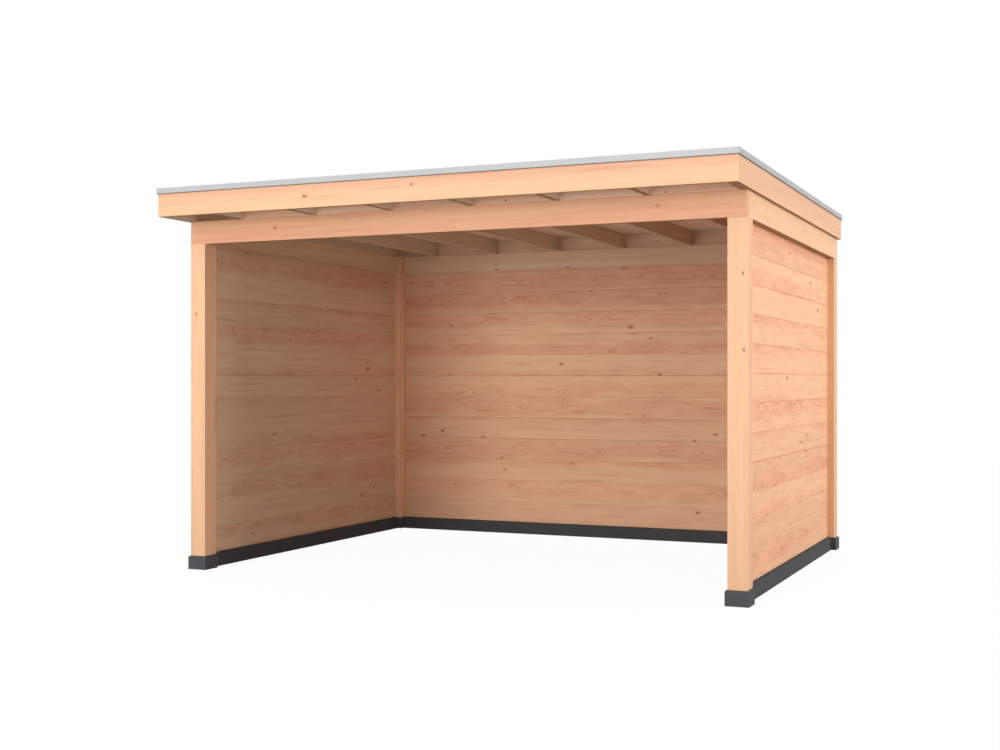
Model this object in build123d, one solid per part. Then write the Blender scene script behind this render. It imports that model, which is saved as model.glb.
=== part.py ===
from build123d import *
import os

# Timber patio cover: three boarded walls, an open front and a flat roof.
# Millimetres. +X runs along the front to the right, +Y to the back, +Z up.
# The origin lies on the ground under the middle of the roof.

# Post frame, measured over the outer faces of the posts
frame_width = 3975.0
frame_depth = 3035.0
clear_height = 2291.0
post_size = 120.0

# Concrete feet and plinths
foot_size = 148.0
foot_height = 95.0
plinth_height = 100.0
plinth_thickness = 70.0

# Ring beams on the outside of the post heads
beam_thickness = 45.0
beam_height = 160.0

# Boarded walls, held between two battens at each post
wall_thickness = 20.0
wall_clearance = 5.0
wall_lap = 12.0
batten_thickness = 20.0

# Roof joists, deck and roofing sheet
joist_width = 45.0
joist_height = 120.0
joist_pitch = 589.0
blocking_thickness = 28.0
deck_thickness = 18.0
membrane_thickness = 2.0

# Fascia boards and metal edge trim
overhang_front = 328.0
overhang_side = 27.0
overhang_back = 18.0
fascia_thickness = 27.0
fascia_height = 193.0
trim_proud = 8.0
trim_face = 41.0
trim_flange = 52.0
trim_sheet = 2.0

# Faces of the post frame
frame_left = -frame_width / 2
frame_right = frame_width / 2
frame_front = -(frame_depth + overhang_back - overhang_front) / 2
frame_back = frame_front + frame_depth

# Outer and inner faces of the fascia
roof_left = frame_left - overhang_side
roof_right = frame_right + overhang_side
roof_front = frame_front - overhang_front
roof_back = frame_back + overhang_back
deck_left = roof_left + fascia_thickness
deck_right = roof_right - fascia_thickness
deck_front = roof_front + fascia_thickness
deck_back = roof_back - fascia_thickness

# Levels of the roof
beam_top = clear_height + beam_height
joist_top = beam_top + joist_height
deck_top = joist_top + deck_thickness
fascia_top = beam_top + fascia_height
wall_top = clear_height + wall_lap


def block(x_span, y_span, z_span):
    """A box between two limits on each axis."""
    size = [high - low for low, high in (x_span, y_span, z_span)]
    corner = Pos(x_span[0], y_span[0], z_span[0])
    return corner * Box(*size, align=(Align.MIN, Align.MIN, Align.MIN))


def inward(face, depth_out, depth_in):
    """The span between two depths behind an outer face, for a low or a high face."""
    if face < 0:
        return (face + depth_out, face + depth_in)
    return (face - depth_in, face - depth_out)


def mitred_side(side, outline, width, z_span):
    """A strip along one side of a rectangle, cut at 45 degrees at both ends."""
    left, right, front, back = outline
    outer = {
        "front": [(left, front), (right, front)],
        "right": [(right, front), (right, back)],
        "back": [(right, back), (left, back)],
        "left": [(left, back), (left, front)],
    }[side]
    inner = []
    for x, y in reversed(outer):
        inner_x = x + width if x == left else x - width
        inner_y = y + width if y == front else y - width
        inner.append((inner_x, inner_y))
    plan = Pos(0, 0, z_span[0]) * Polygon(*outer, *inner, align=None)
    return extrude(plan, amount=z_span[1] - z_span[0], dir=(0, 0, 1))


def save(shape, node):
    """Write one piece as a node of the assembly."""
    export_step(shape, f"parts/{node}.step")


def foot(x_face, y_face):
    """A concrete foot, centred under its post."""
    margin = (foot_size - post_size) / 2
    across = inward(x_face, -margin, post_size + margin)
    along = inward(y_face, -margin, post_size + margin)
    return block(across, along, (0, foot_height))


def post(x_face, y_face):
    """A post whose head is notched on its outer faces to seat the ring beams."""
    shaft = block(
        inward(x_face, 0, post_size),
        inward(y_face, 0, post_size),
        (foot_height, clear_height),
    )
    head = block(
        inward(x_face, beam_thickness, post_size),
        inward(y_face, beam_thickness, post_size),
        (clear_height, beam_top),
    )
    return shaft + head


def make_feet_and_posts():
    """Four feet and the four posts that stand on them."""
    for row, y_face in (("front", frame_front), ("back", frame_back)):
        for side, x_face in (("left", frame_left), ("right", frame_right)):
            save(foot(x_face, y_face), f"foot_{row}_{side}")
            save(post(x_face, y_face), f"post_{row}_{side}")


def make_plinths():
    """Concrete plinths between the feet, centred under the three walls."""
    foot_reach = (post_size + foot_size) / 2
    depths = ((post_size - plinth_thickness) / 2, (post_size + plinth_thickness) / 2)
    levels = (0, plinth_height)
    along_side = (frame_front + foot_reach, frame_back - foot_reach)
    along_back = (frame_left + foot_reach, frame_right - foot_reach)
    for side, x_face in (("left", frame_left), ("right", frame_right)):
        across = inward(x_face, *depths)
        save(block(across, along_side, levels), f"plinth_{side}")
    across = inward(frame_back, *depths)
    save(block(along_back, across, levels), "plinth_back")


def make_beams():
    """Ring beams: front and back run full width, the sides fit between them."""
    levels = (clear_height, beam_top)
    along_side = (frame_front + beam_thickness, frame_back - beam_thickness)
    along_front = (frame_left, frame_right)
    for side, x_face in (("left", frame_left), ("right", frame_right)):
        across = inward(x_face, 0, beam_thickness)
        save(block(across, along_side, levels), f"beam_{side}")
    for row, y_face in (("front", frame_front), ("back", frame_back)):
        across = inward(y_face, 0, beam_thickness)
        save(block(along_front, across, levels), f"beam_{row}")


def make_walls():
    """Three walls just inside the ring beams, each end held by two battens."""
    wall_outer = beam_thickness + wall_clearance
    wall_inner = wall_outer + wall_thickness
    across_wall = (wall_outer, wall_inner)
    outer_batten = (0, wall_outer)
    inner_batten = (wall_inner, post_size)
    wall_levels = (plinth_height, wall_top)
    batten_levels = (plinth_height, clear_height)
    side_along = (frame_front + post_size, frame_back - post_size)
    back_along = (frame_left + post_size, frame_right - post_size)

    def ends(along, names):
        """The short spans that the battens cover at the two ends of a wall."""
        low = (along[0], along[0] + batten_thickness)
        high = (along[1] - batten_thickness, along[1])
        return zip(names, (low, high))

    for side, x_face in (("left", frame_left), ("right", frame_right)):
        across = inward(x_face, *across_wall)
        save(block(across, side_along, wall_levels), f"wall_{side}")
        for end, span in ends(side_along, ("front", "back")):
            pair = [
                block(inward(x_face, *depths), span, batten_levels)
                for depths in (outer_batten, inner_batten)
            ]
            save(Compound(children=pair), f"battens_{side}_{end}")

    across = inward(frame_back, *across_wall)
    save(block(back_along, across, wall_levels), "wall_back")
    for end, span in ends(back_along, ("left", "right")):
        pair = [
            block(span, inward(frame_back, *depths), batten_levels)
            for depths in (outer_batten, inner_batten)
        ]
        save(Compound(children=pair), f"battens_back_{end}")


def joist_right_edges():
    """Right edges of the joists: set out from the right, the last one at the left end."""
    edges = []
    edge = deck_right
    while edge - joist_width > deck_left + joist_width:
        edges.append(edge)
        edge = edge - joist_pitch
    edges.append(deck_left + joist_width)
    return sorted(edges)


def make_roof():
    """Joists on the ring beams, the deck on the joists and the roofing sheet."""
    along = (deck_front, deck_back)
    edges = joist_right_edges()
    for number, edge in enumerate(edges, start=1):
        joist = block((edge - joist_width, edge), along, (beam_top, joist_top))
        save(joist, f"joist_{number}")
    # Blocking closes the full bays over the front beam, flush with its face
    over_beam = (frame_front, frame_front + blocking_thickness)
    boards = [
        block((left, right - joist_width), over_beam, (beam_top, joist_top))
        for left, right in zip(edges[1:], edges[2:])
    ]
    save(Compound(children=boards), "blocking_front")
    deck = block((deck_left, deck_right), along, (joist_top, deck_top))
    save(deck, "roof_deck")
    sheet = block((deck_left, deck_right), along, (deck_top, fascia_top))
    hollow = block(
        (deck_left + membrane_thickness, deck_right - membrane_thickness),
        (deck_front + membrane_thickness, deck_back - membrane_thickness),
        (deck_top + membrane_thickness, fascia_top + membrane_thickness),
    )
    save(sheet - hollow, "roof_membrane")


def make_roof_edge():
    """Mitred fascia boards and the metal trim that caps them."""
    fascia_outline = (roof_left, roof_right, roof_front, roof_back)
    trim_outline = (
        roof_left - trim_proud,
        roof_right + trim_proud,
        roof_front - trim_proud,
        roof_back + trim_proud,
    )
    trim_top = fascia_top + trim_sheet
    for side in ("front", "right", "back", "left"):
        board = mitred_side(side, fascia_outline, fascia_thickness, (beam_top, fascia_top))
        save(board, f"fascia_{side}")
        flange = mitred_side(side, trim_outline, trim_flange, (fascia_top, trim_top))
        face = mitred_side(side, trim_outline, trim_sheet, (trim_top - trim_face, trim_top))
        save(flange + face, f"edge_trim_{side}")


os.makedirs("parts", exist_ok=True)
make_feet_and_posts()
make_plinths()
make_beams()
make_walls()
make_roof()
make_roof_edge()
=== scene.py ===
"""Timber patio cover: boarded walls, ring beams, joists and roof edge, dressed for a studio picture."""

import logging
import math
import random
from dataclasses import dataclass
from enum import Enum
from typing import Any, Sequence

import bmesh
import bpy
import numpy as np
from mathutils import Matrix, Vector


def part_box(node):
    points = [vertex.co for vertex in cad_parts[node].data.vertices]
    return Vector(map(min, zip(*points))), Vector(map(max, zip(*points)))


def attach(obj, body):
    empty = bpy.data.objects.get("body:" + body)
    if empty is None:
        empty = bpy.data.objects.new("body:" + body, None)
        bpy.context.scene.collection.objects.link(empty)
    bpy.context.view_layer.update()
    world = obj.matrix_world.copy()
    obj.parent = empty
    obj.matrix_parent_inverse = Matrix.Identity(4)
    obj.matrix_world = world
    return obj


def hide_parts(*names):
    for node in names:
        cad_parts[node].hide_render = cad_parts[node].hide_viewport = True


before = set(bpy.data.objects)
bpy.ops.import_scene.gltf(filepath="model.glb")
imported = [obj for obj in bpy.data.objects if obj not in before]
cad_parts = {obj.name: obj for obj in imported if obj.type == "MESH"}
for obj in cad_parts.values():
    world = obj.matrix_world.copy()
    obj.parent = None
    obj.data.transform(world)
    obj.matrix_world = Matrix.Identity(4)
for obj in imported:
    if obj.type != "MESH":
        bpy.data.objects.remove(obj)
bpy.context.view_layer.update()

LOG = logging.getLogger("patio_cover")
BODY = "root"
SIDES = ("left", "right")
ROWS = ("front", "back")
ROUND = ("front", "right", "back", "left")
FAR_FROM_KNOTS = 90.0
FAR_BACK = 99.0
LOG_LENGTH = 60.0
END_DRAW = 0.6
KNOT_WEIGHTS = (0.6, 1.0)
MIDDLE = 0.5
WHITE = (1.0, 1.0, 1.0)
ORIGIN = (0.0, 0.0, 0.0)

Colour = tuple[float, float, float]
Point = tuple[float, float, float]
Span = tuple[float, float]
Profile = list[Span]
Rings = Sequence[Sequence[Point]]
Material = bpy.types.Material
Mesh = bpy.types.Mesh
Piece = bpy.types.Object
Socket = bpy.types.NodeSocket
Tree = bpy.types.NodeTree


def tone(red: int, green: int, blue: int) -> Colour:
    """Turn a colour as it looks on a screen into light values.

    Args:
        red: its red part, 0 to 255.
        green: its green part.
        blue: its blue part.

    Returns:
        The three light values, 0 to 1.
    """
    def light(value: int) -> float:
        """One channel without the screen's curve."""
        part = value / 255
        return part / 12.92 if part <= 0.04045 else ((part + 0.055) / 1.055) ** 2.4
    return light(red), light(green), light(blue)


PALE_KNOT = tone(178, 112, 72)
# Painted shade: the dark colour given to the undersides of beams, fascias and the joists' front ends
UNDERSIDE_SHADE = tone(150, 110, 70)


class Lie(Enum):
    """How a timber lies: its axes along the grain, across its face and through it."""

    FRONT = (0, 2, 1)
    SIDE = (1, 2, 0)
    FLAT = (0, 1, 2)
    UPRIGHT = (2, 0, 1)

    def place(self, along: float, across: float, through: float) -> Point:
        """Turn three distances into a place.

        Args:
            along: the distance along the grain.
            across: the distance across the face.
            through: the distance through the timber.

        Returns:
            The same as x, y and z.
        """
        spot = [0.0, 0.0, 0.0]
        for axis, value in zip(self.value, (along, across, through)):
            spot[axis] = value
        return spot[0], spot[1], spot[2]


@dataclass(frozen=True)
class Knot:
    """A knot on a timber's face: where it is along and across, and its full size, in metres."""

    along: float
    across: float
    length: float
    height: float


@dataclass(frozen=True)
class Cut:
    """How a timber was sawn from its log.

    Attributes:
        pith_across: the log's centre, across the face from the timber's low edge.
        pith_through: the log's centre, behind the middle of the timber.
        tint: 0 for pale and yellowish wood, 1 for dark and pinkish wood.
        crowns: places along it where the log's centre comes near the face and the grain draws ovals.
    """

    pith_across: float
    pith_through: float = 0.06
    tint: float = 0.5
    crowns: tuple[float, ...] = ()


class Weave(Enum):
    """Noise in the grain: its scale along, across and through, its detail and where it starts."""

    RAGGED = ((18.0, 50.0, 50.0), 2.0, ORIGIN)
    SLOW = ((2.0, 2.0, 2.0), 1.5, ORIGIN)
    SWAY = ((1.6, 1.0, 1.0), 1.0, (7.0, 3.0, 5.0))
    SMALL = ((8.0, 20.0, 20.0), 3.0, ORIGIN)
    STREAK = ((0.8, 26.0, 26.0), 3.0, ORIGIN)
    BROAD = ((0.5, 7.0, 7.0), 2.0, ORIGIN)
    FIBRE = ((7.0, 420.0, 420.0), 2.0, ORIGIN)
    ZONE = ((3.4, 14.0, 14.0), 2.0, ORIGIN)
    FLUSH = ((1.9, 34.0, 34.0), 1.5, ORIGIN)


class Graph:
    """A node tree under construction."""

    def __init__(self, tree: Tree) -> None:
        """Start on an empty tree."""
        self.tree = tree
        tree.nodes.clear()

    def add(self, kind: str, inputs: dict[str, Any] | None = None, **settings: Any) -> bpy.types.Node:
        """Add a node.

        Args:
            kind: the node's type name.
            inputs: a socket to link or a value to set, by socket name or identifier.
            settings: the node's own properties.

        Returns:
            The new node.
        """
        node = self.tree.nodes.new(kind)
        for name, value in settings.items():
            setattr(node, name, value)
        for name, value in (inputs or {}).items():
            found = [s for s in node.inputs if s.identifier == name]
            socket = found[0] if found else next(s for s in node.inputs if s.name == name and s.enabled)
            self.feed(socket, value)
        return node

    def feed(self, socket: Socket, value: Any) -> None:
        """Link a socket, or set its constant.

        Args:
            socket: the socket.
            value: the socket to link it to, or the constant.
        """
        if isinstance(value, Socket):
            self.tree.links.new(value, socket)
        elif socket.type == "RGBA" and len(value) == 3:
            socket.default_value = (*value, 1.0)
        else:
            socket.default_value = value

    def math(self, operation: str, *values: Any, clamp: bool = False) -> Socket:
        """Add a sum on numbers.

        Args:
            operation: the sum's name.
            values: its sockets or constants.
            clamp: whether its result is kept between 0 and 1.

        Returns:
            Its result.
        """
        node = self.add("ShaderNodeMath", operation=operation, use_clamp=clamp)
        for socket, value in zip(node.inputs, values):
            self.feed(socket, value)
        return node.outputs[0]

    def vector(self, operation: str, *values: Any) -> Socket:
        """Add a sum on vectors.

        Args:
            operation: the sum's name.
            values: its sockets or constants.

        Returns:
            Its result.
        """
        node = self.add("ShaderNodeVectorMath", operation=operation)
        for socket, value in zip(node.inputs, values):
            self.feed(socket, value)
        return node.outputs["Value" if operation in ("LENGTH", "DOT_PRODUCT") else "Vector"]

    def split(self, value: Socket) -> list[Socket]:
        """Return the three parts of a vector."""
        return list(self.add("ShaderNodeSeparateXYZ", {"Vector": value}).outputs)

    def join(self, x: Any, y: Any, z: Any) -> Socket:
        """Return a vector of three parts."""
        return self.add("ShaderNodeCombineXYZ", {"X": x, "Y": y, "Z": z}).outputs[0]

    def scale(self, value: Any, factor: Any) -> Socket:
        """Return a vector or a colour times a factor."""
        node = self.add("ShaderNodeVectorMath", {"Vector": value, "Scale": factor}, operation="SCALE")
        return node.outputs["Vector"]

    def swing(self, base: Any, value: Any, size: float, clamp: bool = False) -> Socket:
        """Return base, moved up or down as a value swings about one half."""
        return self.math("MULTIPLY_ADD", self.math("SUBTRACT", value, MIDDLE), size, base, clamp=clamp)

    def noise(self, place: Any, scale: float, detail: float = 2.0, rough: float = 0.5) -> Socket:
        """Return an even cloud of values around one half."""
        sizes = {"Vector": place, "Scale": scale, "Detail": detail, "Roughness": rough}
        return self.add("ShaderNodeTexNoise", sizes).outputs[0]

    def ease(self, value: Any, low: float, high: float, start: float = 0.0, end: float = 1.0) -> Socket:
        """Return a soft step from start to end as value goes from low to high."""
        limits = {"Value": value, "From Min": low, "From Max": high, "To Min": start, "To Max": end}
        return self.add("ShaderNodeMapRange", limits, interpolation_type="SMOOTHSTEP").outputs[0]

    def blend(self, share: Any, first: Any, second: Any, mode: str = "MIX") -> Socket:
        """Mix two colours.

        Args:
            share: how much of the second is in the mix.
            first: the first colour.
            second: the second colour.
            mode: how they mix.

        Returns:
            The mix.
        """
        parts = {"Factor_Float": share, "A_Color": first, "B_Color": second}
        node = self.add("ShaderNodeMix", parts, data_type="RGBA", blend_type=mode)
        return next(s for s in node.outputs if s.identifier == "Result_Color")

    def weave(self, grain: Any, kind: Weave) -> Socket:
        """Return noise that is drawn out along the grain."""
        scale, detail, start = kind.value
        return self.noise(self.vector("MULTIPLY_ADD", grain, scale, start), 1.0, detail)

    def place(self) -> Socket:
        """Return the place on the object."""
        return self.add("ShaderNodeTexCoord").outputs["Object"]

    def bump(self, height: Any, strength: float, distance: float) -> Socket:
        """Return the normal of a face with fine relief."""
        values = {"Strength": strength, "Distance": distance, "Height": height}
        return self.add("ShaderNodeBump", values).outputs[0]

    def named(self, name: str, kind: str = "FLOAT_VECTOR") -> Socket:
        """Return an attribute of the geometry."""
        return self.add("GeometryNodeInputNamedAttribute", {"Name": name}, data_type=kind).outputs[0]


class Finish:
    """What every finish shares: a material with its graph and shader."""

    @staticmethod
    def start(name: str) -> tuple[Material, Graph]:
        """Make an empty material.

        Args:
            name: the material's name.

        Returns:
            The material and its graph.
        """
        material = bpy.data.materials.new(name)
        material.use_nodes = True
        return material, Graph(material.node_tree)

    @staticmethod
    def close(graph: Graph, inputs: dict[str, Any]) -> None:
        """Add the shader and the output."""
        shader = graph.add("ShaderNodeBsdfPrincipled", inputs)
        graph.add("ShaderNodeOutputMaterial", {"Surface": shader.outputs[0]})


@dataclass(frozen=True)
class TimberFinish(Finish):
    """Planed, untreated softwood with growth rings, heartwood, fibre and knots.

    Attributes:
        ring: the width of a growth ring.
        heart_radius: where heartwood turns into sapwood.
        heart_edge: half the width of that change.
        heart_stray: how uneven that change is.
        figure: how far the pith wanders through the timber.
        sway: how far the pith wanders across the face.
        wobble: how uneven a ring is.
        line_strength: how strongly latewood draws its lines.
        flush_strength: how strongly reddish streaks show.
        ragged: how uneven a knot's outline is.
        parting: how far the grain parts round a knot.
        stain_and_shade: painted shade for the undersides, a dark colour that stands in for the shade under
            them, if any.
        shade_line: how far back the painted shade reaches, in the frame's own y.
        shade_fade: the width of the painted shade's edge.
    """

    name: str
    sapwood: Colour = tone(233, 186, 147)
    heartwood: Colour = tone(229, 171, 135)
    latewood: Colour = tone(190, 118, 84)
    knot: Colour = tone(146, 90, 58)
    resin: Colour = tone(202, 130, 92)
    ring: float = 0.0075
    heart_radius: float = 0.085
    heart_edge: float = 0.035
    heart_stray: float = 0.07
    figure: float = 0.060
    sway: float = 0.06
    wobble: float = 0.013
    line_strength: float = 0.68
    flush_strength: float = 0.45
    ragged: float = 1.1
    parting: float = 0.85
    roughness: float = 0.58
    stain_and_shade: Colour | None = None
    shade_line: float = FAR_BACK
    shade_fade: float = 0.03

    def material(self) -> Material:
        """Build the timber's material from its grain, knot and tint attributes.

        Returns:
            The finished material.
        """
        material, g = self.start(self.name)
        grain = g.add("ShaderNodeAttribute", attribute_name="grain").outputs["Vector"]
        tint = g.add("ShaderNodeAttribute", attribute_name="tint").outputs["Fac"]
        knot = g.add("ShaderNodeAttribute", attribute_name="knot").outputs["Vector"]
        noise = {kind: g.weave(grain, kind) for kind in Weave}
        fibre = noise[Weave.FIBRE]
        _, across, through = g.split(grain)
        knot_along, knot_across, knot_half = g.split(knot)

        # The grain parts round a knot as water does round a stone
        reach = g.vector("LENGTH", g.join(knot_along, knot_across, 0.0))
        reach = g.swing(reach, noise[Weave.RAGGED], self.ragged)
        pull = g.math("DIVIDE", self.parting, g.math("MAXIMUM", g.math("POWER", reach, 2.0), 1.0))
        pull = g.math("MULTIPLY", pull, g.math("MULTIPLY", knot_across, knot_half))
        across = g.math("SUBTRACT", across, pull)

        # Growth rings round a wandering pith, seen on a sawn face
        across = g.swing(across, noise[Weave.SWAY], self.sway)
        depth = g.swing(through, noise[Weave.SLOW], self.figure)
        radius = g.vector("LENGTH", g.join(across, depth, 0.0))
        radius = g.swing(radius, noise[Weave.SMALL], self.wobble)
        count = g.math("DIVIDE", radius, self.ring)
        year, part = g.math("FLOOR", count), g.math("FRACT", count)
        weight = g.add("ShaderNodeTexWhiteNoise", {"W": year}, noise_dimensions="1D").outputs["Value"]
        late = g.math("MULTIPLY", g.ease(part, 0.25, 0.85), g.ease(part, 0.88, 1.0, 1.0, 0.0))
        late = g.math("MULTIPLY", late, g.math("MULTIPLY_ADD", weight, 0.75, 0.25))

        # Heartwood inside, sapwood outside, darker lines of latewood
        edge = g.swing(radius, noise[Weave.BROAD], self.heart_stray)
        sap = g.ease(edge, self.heart_radius - self.heart_edge, self.heart_radius + self.heart_edge)
        sap = g.swing(sap, noise[Weave.STREAK], 0.9)
        sap = g.swing(sap, tint, -0.6, clamp=True)
        colour = g.blend(sap, self.heartwood, self.sapwood)
        line = g.math("MULTIPLY", late, g.math("MULTIPLY_ADD", sap, -0.45, 1.0))
        line = g.math("MULTIPLY", line, g.ease(noise[Weave.ZONE], 0.40, 0.60, 0.10, 1.0))
        flush = g.ease(noise[Weave.FLUSH], 0.58, 0.78, 0.0, self.flush_strength)
        colour = g.blend(flush, colour, self.latewood)
        colour = g.blend(g.math("MULTIPLY", line, self.line_strength), colour, self.latewood)
        # Painted shade: undersides are drawn towards a dark colour that stands in for the shade under them
        if self.stain_and_shade:
            colour = g.blend(self.shaded_undersides(g), colour, self.stain_and_shade)
        shade = g.swing(1.0, noise[Weave.STREAK], 0.20)
        shade = g.swing(g.swing(shade, fibre, 0.10), tint, -0.08)
        colour = g.scale(colour, shade)

        # Knots: a dark core with its own rings in a reddish ring of resin
        core = g.ease(reach, 0.55, 0.95, 1.0, 0.0)
        halo = g.ease(reach, 0.70, 1.7, 0.40, 0.0)
        colour = g.blend(halo, colour, self.resin)
        rings = g.math("MULTIPLY_ADD", g.math("SINE", g.math("MULTIPLY", reach, 16.0)), 0.18, 0.22)
        colour = g.blend(core, colour, g.blend(rings, self.knot, self.resin))

        # Latewood and knots stand a little proud and are smoother
        rough = g.math("MULTIPLY_ADD", line, -0.10, g.swing(self.roughness, fibre, 0.16))
        rough = g.math("MULTIPLY_ADD", core, -0.14, rough)
        relief = g.math("MULTIPLY_ADD", line, 0.6, g.math("MULTIPLY", fibre, 0.5))
        relief = g.math("MULTIPLY_ADD", core, 0.4, relief)
        self.close(g, {
            "Base Color": colour,
            "Roughness": rough,
            "Normal": g.bump(relief, 0.35, 0.0006),
            "Specular IOR Level": 0.25,
        })
        return material

    def shaded_undersides(self, g: Graph) -> Socket:
        """Find the undersides in front of the shade line, where shade is painted.

        Args:
            g: the material's graph.

        Returns:
            1 on those faces, 0 elsewhere.
        """
        facing = g.split(g.add("ShaderNodeNewGeometry").outputs["Normal"])[2]
        back = g.split(g.place())[1]
        under = g.ease(facing, -0.9, -0.5, 1.0, 0.0)
        ahead = g.ease(back, self.shade_line, self.shade_line + self.shade_fade, 1.0, 0.0)
        return g.math("MULTIPLY", under, ahead)


@dataclass(frozen=True)
class ConcreteFinish(Finish):
    """Smooth cast, through-coloured concrete with clouds and pores."""

    name: str
    dark: Colour = tone(54, 54, 56)
    light: Colour = tone(77, 77, 78)
    hollow: Colour = tone(40, 40, 42)
    roughness: float = 0.82

    def material(self) -> Material:
        """Build the concrete's material.

        Returns:
            The finished material.
        """
        material, g = self.start(self.name)
        place = g.place()
        cloud = g.noise(place, 5.0, 5.0, 0.6)
        sand = g.noise(place, 260.0, 2.0, 0.6)
        pores = g.add("ShaderNodeTexVoronoi", {"Vector": place, "Scale": 85.0}).outputs["Distance"]
        pore = g.ease(pores, 0.05, 0.16, 1.0, 0.0)
        share = g.math("MULTIPLY_ADD", sand, 0.35, g.math("MULTIPLY", cloud, 0.75), clamp=True)
        colour = g.blend(share, self.dark, self.light)
        colour = g.blend(g.math("MULTIPLY", pore, 0.45), colour, self.hollow)
        height = g.math("MULTIPLY_ADD", pore, -0.8, sand)
        self.close(g, {
            "Base Color": colour,
            "Roughness": g.swing(self.roughness, cloud, 0.14),
            "Normal": g.bump(height, 0.5, 0.0010),
            "Specular IOR Level": 0.2,
        })
        return material


@dataclass(frozen=True)
class TrimFinish(Finish):
    """Matt rolled aluminium with faint rolling lines and painted shade along its drip edge."""

    name: str = "roof_trim_metal"
    bright: Colour = tone(173, 173, 173)
    dull: Colour = tone(166, 166, 166)
    drip_shade: Colour = tone(96, 80, 68)
    drip_level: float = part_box("edge_trim_front")[0].z
    drip_shade_low: float = 0.0026
    drip_shade_high: float = 0.0065
    drip_shade_share: float = 0.85
    roughness: float = 0.60

    def material(self) -> Material:
        """Build the trim's material.

        Returns:
            The finished material.
        """
        material, g = self.start(self.name)
        place = g.place()
        lines = g.noise(g.vector("MULTIPLY", place, (1.5, 1.5, 900.0)), 1.0, 2.0)
        patch = g.noise(place, 3.0, 4.0, 0.6)
        colour = g.blend(g.ease(patch, 0.3, 0.7), self.dull, self.bright)
        # Painted shade: the lowest few millimetres of the face darken, standing in for the shade along the
        # drip edge
        height = g.math("SUBTRACT", g.split(place)[2], self.drip_level)
        drip_shade_mask = g.ease(height, self.drip_shade_low, self.drip_shade_high, self.drip_shade_share, 0.0)
        colour = g.blend(drip_shade_mask, colour, self.drip_shade)
        self.close(g, {
            "Base Color": colour,
            "Metallic": 0.20,
            "Roughness": g.swing(g.swing(self.roughness, patch, 0.10), lines, 0.12),
            "Normal": g.bump(lines, 0.10, 0.0002),
        })
        return material


@dataclass(frozen=True)
class RoofingFinish(Finish):
    """Dark rubber roofing sheet with a fine texture and dusty patches."""

    name: str = "roofing_rubber"
    rubber: Colour = tone(46, 47, 49)
    dust: Colour = tone(86, 85, 82)
    roughness: float = 0.7

    def material(self) -> Material:
        """Build the roofing sheet's material.

        Returns:
            The finished material.
        """
        material, g = self.start(self.name)
        place = g.place()
        patch = g.noise(place, 1.6, 5.0, 0.6)
        speck = g.noise(place, 420.0, 2.0)
        share = g.math("MULTIPLY", g.ease(patch, 0.45, 0.80, 0.0, 0.55), g.ease(speck, 0.3, 0.6, 0.5, 1.0))
        colour = g.blend(share, self.rubber, self.dust)
        rough = g.swing(self.roughness, patch, 0.2)
        self.close(g, {"Base Color": colour, "Roughness": rough, "Normal": g.bump(speck, 0.3, 0.0006)})
        return material


@dataclass(frozen=True)
class ScrewFinish(Finish):
    """Stainless screw heads, slightly stained."""

    name: str = "screw_steel"
    steel: Colour = tone(176, 172, 164)
    stain_and_shade: Colour = tone(128, 116, 100)

    def material(self) -> Material:
        """Build the screws' material.

        Returns:
            The finished material.
        """
        material, g = self.start(self.name)
        place = g.place()
        patch = g.noise(place, 300.0, 3.0)
        colour = g.blend(g.ease(patch, 0.4, 0.7), self.steel, self.stain_and_shade)
        rough = g.math("MULTIPLY_ADD", patch, 0.3, 0.25)
        self.close(g, {"Base Color": colour, "Metallic": 0.9, "Roughness": rough})
        return material


def eased_rectangle(width: float, depth: float, ease: float) -> Profile:
    """Lay out a rectangle with rounded corners.

    Args:
        width: its size across, from 0.
        depth: its size through, from 0.
        ease: the corners' radius.

    Returns:
        The corner points, anticlockwise.
    """
    points: Profile = []
    right, top = width - ease, depth - ease
    for x, y, start in ((right, ease, -90), (right, top, 0), (ease, top, 90), (ease, ease, 180)):
        for turn in (0, 45, 90):
            angle = math.radians(start + turn)
            points.append((x + ease * math.cos(angle), y + ease * math.sin(angle)))
    return points


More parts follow.
